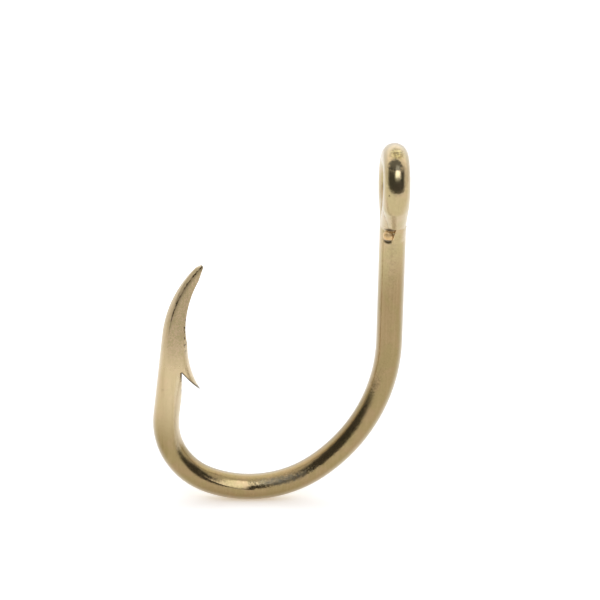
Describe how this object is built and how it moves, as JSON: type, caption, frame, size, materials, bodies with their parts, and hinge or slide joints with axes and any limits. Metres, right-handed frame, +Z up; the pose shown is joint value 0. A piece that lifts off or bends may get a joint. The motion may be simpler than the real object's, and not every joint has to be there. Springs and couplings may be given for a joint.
{
  "type": "single bait hook",
  "caption": "Heavy short-shank single fishing hook with a wide round bend, a ground barbed point that curls inward and a closed ring eye brazed onto the shank.",
  "frame": {"origin": "centre of the ring eye's hole", "axes": "+Z up along the shank from the bend to the eye; the bend and the point lie in the XZ plane with the point towards -X; the hole of the eye runs along X and the lapped, brazed end of the wire faces -Y"},
  "size_m": [0.0247, 0.008, 0.0369],
  "materials": {
    "plated_wire": "bronze-gold plated high-carbon steel wire, satin, slightly mottled, with small dark specks",
    "plated_braze": "braze metal under the same bronze-gold plating, rough and darker in the crevices"
  },
  "bodies": {
    "root": {"hook_wire": "plated_wire", "lap_braze": "plated_braze", "braze_bead": "plated_braze"}
  },
  "joints": []
}
